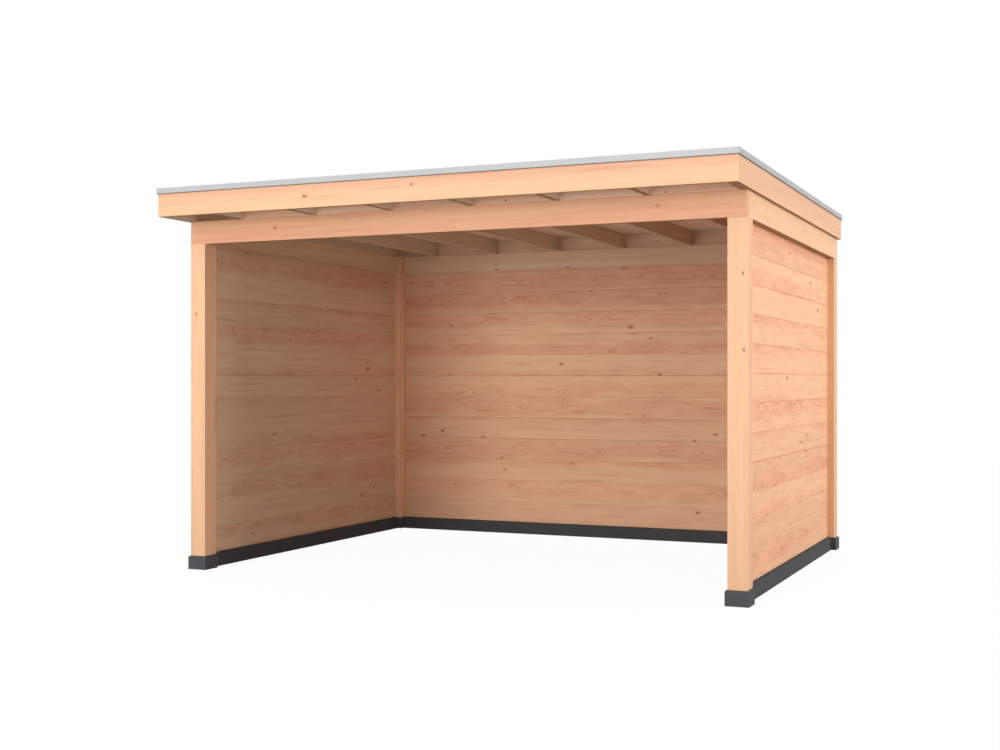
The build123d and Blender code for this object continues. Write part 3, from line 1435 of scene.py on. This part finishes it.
@dataclass
class Roof:
    """Joists, deck boards and the roofing sheet."""

    ease: float = 0.003
    deck_pitch: float = 0.1332
    sheet_step: float = 0.08
    ripple: float = 0.004
    lap_width: float = 0.06
    lap_height: float = 0.0022
    lap_edge: float = 0.002
    sheet_inset: float = 0.0015
    sheet_thickness: float = 0.0015
    sheet_lift: float = 0.0022
    sheet_spare: float = 0.003
    sheet_margin: float = 0.04
    turn_up: float = 0.02
    calm_edge: float = 0.25
    deck_gap: float = 0.0012
    board_ease: float = 0.002
    blocking_step: float = 0.15
    ring_step: float = 0.3
    joist_seed: int = 23
    blocking_seed: int = 41
    deck_seed: int = 12
    wave_seed: int = 9
    wave_count: int = 6
    # The joists' pale, grey colour is partly the wood's own and partly painted light on their sides in the
    # overhang; their undersides in front of the front beam get painted shade
    joist_finish: TimberFinish = TimberFinish(
        "joist_wood", sapwood=tone(214, 194, 170), heartwood=tone(206, 181, 156), ring=0.010,
        line_strength=0.25, flush_strength=0.15, stain_and_shade=UNDERSIDE_SHADE, shade_line=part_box("beam_front")[0].y,
    )
    blocking_finish: TimberFinish = TimberFinish(
        "blocking_wood", sapwood=tone(240, 203, 172), heartwood=tone(234, 192, 161), ring=0.010,
        line_strength=0.30, flush_strength=0.25,
    )
    deck_finish: TimberFinish = TimberFinish(
        "deck_wood", sapwood=tone(243, 221, 202), heartwood=tone(237, 211, 190), ring=0.009,
        line_strength=0.22, flush_strength=0.20,
    )

    def build(self) -> list[Piece]:
        """Make the joists, the blocking, the deck and the sheet.

        Returns:
            The four pieces.
        """
        return [self.joists(), self.blocking(), self.deck(), self.sheet()]

    @staticmethod
    def joist_nodes() -> list[str]:
        """Return the joists' nodes, from left to right."""
        nodes = [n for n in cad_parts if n.startswith("joist_")]
        return sorted(nodes, key=lambda n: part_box(n)[0].x)

    def joists(self) -> Piece:
        """Set out the joists.

        Returns:
            The joists.
        """
        nodes = self.joist_nodes()
        low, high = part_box(nodes[-1])
        joist = one_timber("one_joist", tuple(high - low), Lie.SIDE, ease=self.ease, step=self.ring_step)
        cuts = drawn_cuts(self.joist_seed, len(nodes), (-0.03, 0.15), (0.03, 0.1), (0.35, 0.75))
        starts = [tuple(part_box(n)[0]) for n in nodes]
        pitch = (starts[-1][0] - starts[1][0]) / (len(starts) - 2)
        first = (starts[1][0] - pitch, low.y, low.z)
        extra = [(x - first[0] - i * pitch, 0.0, 0.0) for i, (x, _, _) in enumerate(starts)]
        run = SetOut(first, (pitch, 0.0, 0.0), cuts, self.joist_seed, extra=extra)
        piece = run.lay("roof_joists", joist, self.joist_finish.material())
        mark_knots(piece.data, Lie.SIDE, ())
        return settle(piece, "joist_timber", *nodes)

    def blocking(self) -> Piece:
        """Set the blocking boards between the joists over the front beam.

        Returns:
            The blocking.
        """
        low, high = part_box("blocking_front")
        joist_low, joist_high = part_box("joist_2")
        gap = joist_high.x - joist_low.x
        count = len(self.joist_nodes()) - 2
        pitch = (high.x - low.x + gap) / count
        size = (pitch - gap, high.y - low.y, high.z - low.z)
        form = {"ease": self.board_ease, "step": self.blocking_step}
        board = one_timber("one_blocking_board", size, Lie.FRONT, **form)
        cuts = drawn_cuts(self.blocking_seed, count, (-0.04, 0.16), (0.03, 0.09), (0.3, 0.7))
        run = SetOut(tuple(low), (pitch, 0.0, 0.0), cuts, self.blocking_seed)
        piece = run.lay("front_blocking", board, self.blocking_finish.material())
        mark_knots(piece.data, Lie.FRONT, BLOCKING_KNOTS)
        return settle(piece, "joist_timber", "blocking_front")

    def deck(self) -> Piece:
        """Lay the deck boards over the joists.

        Returns:
            The deck.
        """
        low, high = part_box("roof_deck")
        count = round((high.y - low.y) / self.deck_pitch)
        pitch = (high.y - low.y) / count
        size = (high.x - low.x, pitch - self.deck_gap, high.z - low.z)
        board = one_timber("one_deck_board", size, Lie.FLAT, ease=self.board_ease, step=self.ring_step)
        cuts = drawn_cuts(self.deck_seed, count, (-0.05, 0.2), (0.03, 0.1), (0.2, 0.6))
        run = SetOut(tuple(low), (0.0, pitch, 0.0), cuts, self.deck_seed)
        piece = run.lay("deck_boards", board, self.deck_finish.material())
        mark_knots(piece.data, Lie.FLAT, ())
        return settle(piece, "deck_boards", "roof_deck")

    def sheet(self) -> Piece:
        """Lay the roofing sheet as a shallow tray with turned-up edges and two lapped seams.

        Returns:
            The sheet.
        """
        low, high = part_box("roof_membrane")
        inset = self.sheet_inset
        across = self.marks(low.x + inset, high.x - inset)
        along = self.marks(low.y + inset, high.y - inset)
        seams = [low.x + (high.x - low.x) * share for share in (1 / 3, 2 / 3)]
        draw = random.Random(self.wave_seed)
        spans = ((1.2, 4.0), (1.2, 4.0), (0.0, math.tau))
        waves = [tuple(draw.uniform(*span) for span in spans) for _ in range(self.wave_count)]

        def level(x: float, y: float) -> float:
            """Find the height of the sheet.

            Args:
                x: the place across the roof.
                y: the place along the roof.

            Returns:
                The height over the ground.
            """
            edge = min(x - across[0], across[-1] - x, y - along[0], along[-1] - y)
            swell = sum(math.sin(a * x + b * y + c) for a, b, c in waves) / len(waves)
            calm = min(1.0, max(0.0, edge) / self.calm_edge)
            rise = self.sheet_lift + self.ripple * (0.5 + 0.5 * swell) * calm
            turned = max(0.0, 1.0 - edge / self.turn_up) ** 2 * (high.z - low.z - self.sheet_spare)
            lap = self.lap_height if any(0.0 <= x - s <= self.lap_width for s in seams) else 0.0
            return low.z + max(rise + lap, turned)

        folds = (-self.lap_edge, 0.0, self.lap_width, self.lap_width + self.lap_edge)
        columns = sorted({*across, *(seam + fold for seam in seams for fold in folds)})
        points = [(x, y, level(x, y)) for y in along for x in columns]
        width = len(columns)
        faces = [(j * width + i, j * width + i + 1, (j + 1) * width + i + 1, (j + 1) * width + i)
                 for j in range(len(along) - 1) for i in range(width - 1)]
        mesh = bpy.data.meshes.new("roofing_sheet")
        mesh.from_pydata(points, [], faces)
        piece = piece_of("roofing_sheet", mesh)
        wall = piece.modifiers.new("thickness", "SOLIDIFY")
        wall.thickness, wall.offset = self.sheet_thickness, -1.0
        plain_mesh(piece)
        piece.data.materials.append(RoofingFinish().material())
        return settle(piece, "roofing_sheet", "roof_membrane")

    def marks(self, low: float, high: float) -> list[float]:
        """Lay out the sheet's grid lines, close together at its turned-up edges.

        Args:
            low: the low limit.
            high: the high limit.

        Returns:
            The lines' places.
        """
        near = [0.0, 0.003, 0.007, 0.012, 0.02, 0.035]
        span = high - low - 2 * self.sheet_margin
        count = max(2, round(span / self.sheet_step))
        middle = [low + self.sheet_margin + span * i / count for i in range(count + 1)]
        return [low + d for d in near] + middle + [high - d for d in reversed(near)]


@dataclass
class RoofEdge:
    """Mitred fascia boards and the metal trim that caps them."""

    ease: float = 0.003
    sheet: float = 0.0018
    lip: float = 0.006
    bend: float = 0.003
    mitre_gap: float = 0.0004
    fascia_start: float = 4.0
    fascia_step: float = 8.9
    finish: TimberFinish = TimberFinish(
        "fascia_wood", sapwood=tone(222, 181, 141), heartwood=tone(220, 168, 136), knot=PALE_KNOT,
        ring=0.013, heart_radius=0.15, figure=0.04, line_strength=0.18, flush_strength=0.22, stain_and_shade=UNDERSIDE_SHADE,
    )
    pale_finish: TimberFinish = TimberFinish(
        "fascia_wood_pale", sapwood=tone(228, 196, 166), heartwood=tone(222, 184, 154), knot=PALE_KNOT,
        ring=0.013, figure=0.04, line_strength=0.18, flush_strength=0.15, stain_and_shade=UNDERSIDE_SHADE,
    )

    CUTS = {
        "front": Cut(0.22, 0.09, 0.40),
        "right": Cut(0.12, 0.08, -0.10),
        "back": Cut(0.05, 0.08, 0.45),
        "left": Cut(0.16, 0.07, 0.50),
    }
    KNOTS = {
        "front": [Knot(-0.845, 2.528, 0.046, 0.026), Knot(-0.061, 2.558, 0.036, 0.018)],
        "right": [Knot(0.22, 2.50, 0.04, 0.018)],
        "back": [Knot(-1.1, 2.56, 0.034, 0.02), Knot(0.5, 2.50, 0.03, 0.018)],
        "left": [Knot(0.7, 2.53, 0.034, 0.018)],
    }

    def build(self) -> list[Piece]:
        """Make the fascia boards and the trim.

        Returns:
            Five pieces.
        """
        made = []
        plain, pale = self.finish.material(), self.pale_finish.material()
        for number, (side, cut) in enumerate(self.CUTS.items()):
            lie = Lie.FRONT if side in ROWS else Lie.SIDE
            mitre = (1.0, 0.0) if side in ("front", "left") else (0.0, -1.0)
            start = self.fascia_start + self.fascia_step * number
            shape = Shape()
            shape.timber(*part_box(f"fascia_{side}"), lie, cut, start, mitre=mitre, ease=self.ease)
            made.append(timber_piece(
                f"fascia_board_{side}", shape.mesh(f"fascia_{side}"), lie, self.KNOTS[side],
                pale if side == "back" else plain, "fascia_boards", f"fascia_{side}",
            ))
        made.append(self.trim())
        return made

    def profile(self, flange: float, face: float) -> Profile:
        """Lay out the trim's section, from its outer face inwards and from its foot up.

        Args:
            flange: the width of the top.
            face: the height of the face.

        Returns:
            The points as distance inwards and height over the foot.
        """
        t, bend, lip = self.sheet, self.bend, self.lip
        corner, cut, fold = bend * 0.3, bend * 0.4, t * 1.6
        outer = [(0.0, cut), (0.0, face - bend), (corner, face - corner), (bend, face), (flange, face)]
        inner = [(flange, face - t), (bend + t, face - t), (t, face - bend - t), (t, fold), (lip, fold)]
        return outer + inner + [(lip, 0.0), (cut, 0.0)]

    def trim(self) -> Piece:
        """Fold the trim round the roof, mitred at its corners.

        Returns:
            The trim.
        """
        nodes = [f"edge_trim_{side}" for side in ROUND]
        low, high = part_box(nodes[0])
        right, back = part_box(nodes[1])[1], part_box(nodes[2])[1]
        section = self.profile(high.y - low.y, high.z - low.z)
        corners = [(low.x, low.y, 1, 1), (right.x, low.y, -1, 1),
                   (right.x, back.y, -1, -1), (low.x, back.y, 1, -1)]
        shape = Shape()
        for number, side in enumerate(ROUND):
            ends = (corners[number], corners[(number + 1) % len(corners)])
            run = 0 if side in ROWS else 1
            rings = []
            for share in (0.0, 0.25, 0.5, 0.75, 1.0):
                ring = []
                for inward, up in section:
                    spots = [(x + sx * inward, y + sy * inward) for x, y, sx, sy in ends]
                    way = 1.0 if spots[1][run] > spots[0][run] else -1.0
                    start, end = list(spots[0]), list(spots[1])
                    start[run] += way * self.mitre_gap
                    end[run] -= way * self.mitre_gap
                    x, y = (s + share * (e - s) for s, e in zip(start, end))
                    ring.append((x, y, low.z + up))
                rings.append(ring)
            shape.loft(rings)
        piece = piece_of("roof_edge_trim", shape.mesh("roof_edge_trim"))
        piece.data.materials.append(TrimFinish().material())
        return settle(piece, "edge_trim", *nodes)


@dataclass
class Studio:
    """Pale floor, soft light and the camera."""

    lens: float = 47.950
    sensor: float = 36.0
    place: Point = (3.8224, -9.0860, 1.3240)
    turn: float = 23.8861
    shift_up: float = 0.00645
    sight: float = 200.0
    ambient: float = 0.30
    lamp_reach: float = 8.0
    floor_size: float = 28.0
    floor_white: float = 0.965
    floor_tone: Colour = (0.55, 0.55, 0.55)
    lamps: Sequence[tuple[str, Point, float, float]] = (
        ("front_low_lamp", (-0.18, -1.0, 0.0), 1.28, 22.0),
        ("front_lamp", (-0.18, -1.0, 0.16), 0.28, 22.0),
        ("front_high_lamp", (-0.20, -1.0, 0.55), 0.89, 45.0),
        ("right_lamp", (1.0, 0.05, 0.05), 1.57, 24.0),
        ("right_high_lamp", (1.0, 0.10, 0.70), 0.40, 40.0),
        ("front_right_lamp", (0.70, -1.0, -0.04), 0.70, 28.0),
        ("top_lamp", (0.0, 0.0, 1.0), 1.00, 90.0),
        ("back_lamp", (-0.80, 1.0, 0.35), 1.00, 60.0),
    )

    def build(self) -> None:
        """Set up the floor, the light and the camera."""
        self.floor()
        self.world()
        for name, toward, strength, spread in self.lamps:
            self.lamp(name, toward, strength, spread)
        self.camera()
        bpy.context.scene.view_settings.view_transform = "Standard"

    def floor(self) -> None:
        """Lay the floor: white to the camera, with the object's shadow left in it."""
        half = self.floor_size / 2
        mesh = bpy.data.meshes.new("floor")
        corners = [(-half, -half, 0.0), (half, -half, 0.0), (half, half, 0.0), (-half, half, 0.0)]
        mesh.from_pydata(corners, [], [(0, 1, 2, 3)])
        material = bpy.data.materials.new("pale_floor")
        material.use_nodes = True
        g = Graph(material.node_tree)
        grey = g.add("ShaderNodeBsdfDiffuse", {"Color": self.floor_tone})
        matt = g.add("ShaderNodeBsdfDiffuse", {"Color": WHITE})
        white = g.add("ShaderNodeEmission", {"Color": WHITE, "Strength": 1.0})
        look = g.add("ShaderNodeMixShader", {"Fac": self.floor_white})
        mix = g.add("ShaderNodeMixShader", {"Fac": self.seen(g)})
        g.tree.links.new(matt.outputs[0], look.inputs[1])
        g.tree.links.new(white.outputs[0], look.inputs[2])
        g.tree.links.new(grey.outputs[0], mix.inputs[1])
        g.tree.links.new(look.outputs[0], mix.inputs[2])
        g.add("ShaderNodeOutputMaterial", {"Surface": mix.outputs[0]})
        mesh.materials.append(material)
        floor = piece_of("floor", mesh)

    @staticmethod
    def seen(graph: Graph) -> Socket:
        """Find the rays that the camera, a gloss or a clear surface sends.

        Args:
            graph: the graph to add to.

        Returns:
            1 for such a ray, 0 for any other.
        """
        path = graph.add("ShaderNodeLightPath").outputs
        both = graph.math("MAXIMUM", path["Is Camera Ray"], path["Is Glossy Ray"])
        return graph.math("MAXIMUM", both, path["Is Transmission Ray"])

    def world(self) -> None:
        """Make the surroundings: white to look at, and an even soft light."""
        world = bpy.data.worlds.new("studio")
        world.use_nodes = True
        g = Graph(world.node_tree)
        strength = g.math("MULTIPLY_ADD", self.seen(g), 1.0 - self.ambient, self.ambient)
        glow = g.add("ShaderNodeBackground", {"Color": WHITE, "Strength": strength})
        g.add("ShaderNodeOutputWorld", {"Surface": glow.outputs[0]})
        bpy.context.scene.world = world

    def lamp(self, name: str, toward: Point, strength: float, spread: float) -> None:
        """Hang a broad lamp.

        Args:
            name: its name.
            toward: the direction from the object to the lamp.
            strength: its strength.
            spread: how broad it is, in degrees.
        """
        light = bpy.data.lights.new(name, "SUN")
        light.energy = strength
        light.angle = math.radians(spread)
        lamp = bpy.data.objects.new(name, light)
        lamp.rotation_euler = Vector(toward).to_track_quat("Z", "Y").to_euler()
        lamp.location = Vector(toward) * self.lamp_reach
        bpy.context.scene.collection.objects.link(lamp)

    def camera(self) -> None:
        """Stand the camera where the photograph was taken."""
        data = bpy.data.cameras.new("camera")
        data.sensor_width = self.sensor
        data.lens = self.lens
        data.shift_y = self.shift_up
        data.clip_end = self.sight
        camera = bpy.data.objects.new("camera", data)
        camera.location = self.place
        camera.rotation_euler = (math.radians(90.0), 0.0, math.radians(self.turn))
        bpy.context.scene.collection.objects.link(camera)
        bpy.context.scene.camera = camera


LEFT_CUTS = (
    Cut(0.140, 0.065, 0.37, (-1.00, -0.35, 0.25, 0.75)), Cut(0.300, 0.060, 0.65),
    Cut(0.069, 0.065, 0.65, (-0.75, 0.30, 1.10)), Cut(0.107, 0.070, 0.40, (-1.05, -0.60, 0.50)),
    Cut(-0.020, 0.060, 0.68), Cut(0.260, 0.080, 0.62),
    Cut(-0.050, 0.070, 0.38), Cut(-0.010, 0.050, 0.18),
    Cut(0.147, 0.065, 0.50, (-0.75, -0.20, 0.42, 0.95)), Cut(0.200, 0.060, 0.80),
    Cut(0.280, 0.070, 0.46), Cut(0.100, 0.070, 0.62, (-0.75, 0.75)),
)
BACK_CUTS = (
    Cut(0.300, 0.070, 0.80), Cut(0.128, 0.062, 0.05, (-1.17, -0.30, 0.20, 0.80)),
    Cut(0.200, 0.060, 0.33), Cut(0.090, 0.065, 0.75, (-1.20, -0.12, 1.00)),
    Cut(0.220, 0.065, 0.84), Cut(0.093, 0.062, 0.45, (-1.45, -0.485, 0.44, 1.35)),
    Cut(0.036, 0.070, 0.05, (-0.80, -0.20, 0.40, 0.90)), Cut(-0.030, 0.080, 0.45),
    Cut(0.027, 0.060, 0.72, (-1.10, 0.40, 1.50)), Cut(0.135, 0.070, 0.35, (-1.45, 0.20, 1.00)),
    Cut(0.128, 0.070, 0.82, (-1.75, -1.15, -0.25, 0.70)), Cut(0.089, 0.070, 0.38, (-0.30, 0.65, 1.50)),
)
RIGHT_CUTS = (
    Cut(0.120, 0.060, 0.42), Cut(0.300, 0.070, 0.84),
    Cut(0.000, 0.060, 0.40), Cut(0.025, 0.065, 1.00, (-0.40, 1.05)),
    Cut(0.220, 0.060, 0.64), Cut(0.150, 0.060, 0.47),
    Cut(-0.030, 0.070, 0.39), Cut(0.200, 0.060, 0.40),
    Cut(0.180, 0.060, 0.42), Cut(0.400, 0.080, 0.20),
    Cut(0.031, 0.065, 0.02, (-0.95, -0.15)), Cut(0.190, 0.060, 0.98),
)
BLOCKING_KNOTS = (Knot(0.441, 2.468, 0.012, 0.014), Knot(1.491, 2.462, 0.014, 0.014))
LEFT_JOINTS = (0.25, 0.12, 0.75, 1.00, 0.12, 0.55, 1.60, 0.45, 0.12, 0.85, 0.12)
BACK_JOINTS = (0.12, 0.50, 0.64, 0.88, 0.38, 0.58, 1.08, 0.32, 0.60, 0.66, 0.72)
RIGHT_JOINTS = (0.14, 0.12, 0.44, 1.26, 0.54, 1.26, 1.35, 1.00, 0.70, 1.62, 0.70)
LEFT_KNOTS = (
    Knot(1.037, 1.434, 0.055, 0.034), Knot(0.831, 1.346, 0.040, 0.022), Knot(-0.701, 0.185, 0.030, 0.016),
    Knot(0.942, 0.351, 0.055, 0.020), Knot(0.095, 0.892, 0.038, 0.015), Knot(1.143, 0.398, 0.040, 0.018),
    Knot(-0.414, 0.919, 0.042, 0.018), Knot(0.208, 1.770, 0.042, 0.014), Knot(1.226, 1.247, 0.048, 0.022),
    Knot(-0.195, 1.647, 0.028, 0.010), Knot(0.344, 2.145, 0.035, 0.010), Knot(-1.058, 0.757, 0.030, 0.010),
)
BACK_KNOTS = (
    Knot(0.294, 1.782, 0.058, 0.032), Knot(1.019, 0.887, 0.045, 0.026), Knot(0.867, 0.243, 0.048, 0.026),
    Knot(0.846, 0.833, 0.042, 0.020), Knot(0.542, 1.380, 0.044, 0.020), Knot(0.464, 1.684, 0.046, 0.022),
    Knot(-1.473, 0.885, 0.043, 0.026), Knot(-0.334, 1.475, 0.054, 0.026), Knot(-1.075, 0.834, 0.044, 0.022),
    Knot(-0.239, 0.621, 0.038, 0.014), Knot(0.409, 1.034, 0.035, 0.018), Knot(-1.666, 0.840, 0.040, 0.022),
    Knot(-1.387, 1.823, 0.048, 0.026), Knot(-0.805, 0.422, 0.028, 0.014), Knot(-0.861, 0.551, 0.034, 0.016),
    Knot(0.230, 2.272, 0.036, 0.018), Knot(-0.892, 0.653, 0.032, 0.016), Knot(0.540, 0.784, 0.028, 0.014),
    Knot(0.633, 1.616, 0.025, 0.012), Knot(-0.058, 2.091, 0.026, 0.016), Knot(-1.410, 1.380, 0.024, 0.016),
    Knot(1.450, 1.210, 0.040, 0.020), Knot(1.620, 1.930, 0.036, 0.018), Knot(1.380, 0.500, 0.034, 0.018),
)
RIGHT_KNOTS = (
    Knot(0.676, 0.935, 0.060, 0.020), Knot(-0.002, 1.346, 0.062, 0.026), Knot(0.831, 2.051, 0.066, 0.022),
    Knot(0.071, 2.205, 0.060, 0.018), Knot(1.113, 1.864, 0.060, 0.024), Knot(0.475, 0.891, 0.060, 0.016),
    Knot(1.073, 0.884, 0.060, 0.012), Knot(0.652, 0.818, 0.072, 0.018), Knot(0.543, 1.671, 0.050, 0.014),
)


def main() -> None:
    """Build every sub-assembly in order."""
    logging.basicConfig(level=logging.INFO, format="%(name)s %(message)s")
    pieces = [*Base().build(), *PostFrame().build()]
    # The walls' colours differ partly as their wood does and partly as painted light and shade, fitted to how
    # each wall is lit
    walls = (
        ("left", LEFT_CUTS, LEFT_KNOTS, LEFT_JOINTS, 31, TimberFinish(
            "wall_wood_tan", sapwood=tone(223, 191, 159), heartwood=tone(219, 177, 148), ring=0.0095,
            line_strength=0.60, flush_strength=0.35)),
        ("back", BACK_CUTS, BACK_KNOTS, BACK_JOINTS, 32, TimberFinish(
            "wall_wood_warm", sapwood=tone(221, 179, 143), heartwood=tone(217, 165, 132), ring=0.0095,
            line_strength=0.85, flush_strength=0.35)),
        ("right", RIGHT_CUTS, RIGHT_KNOTS, RIGHT_JOINTS, 33, TimberFinish(
            "wall_wood_rosy", sapwood=tone(240, 185, 144), heartwood=tone(236, 170, 133), ring=0.0095,
            line_strength=0.90, flush_strength=0.30)),
    )
    for side, cuts, knots, joints, seed, finish in walls:
        pieces.append(BoardedWall(side, cuts, knots, joints, seed).build(finish.material()))
    pieces += [*Battens().build(), *Roof().build(), *RoofEdge().build()]
    LOG.info("%d pieces in all", len(pieces))
    Studio().build()


if __name__ == "__main__":
    main()
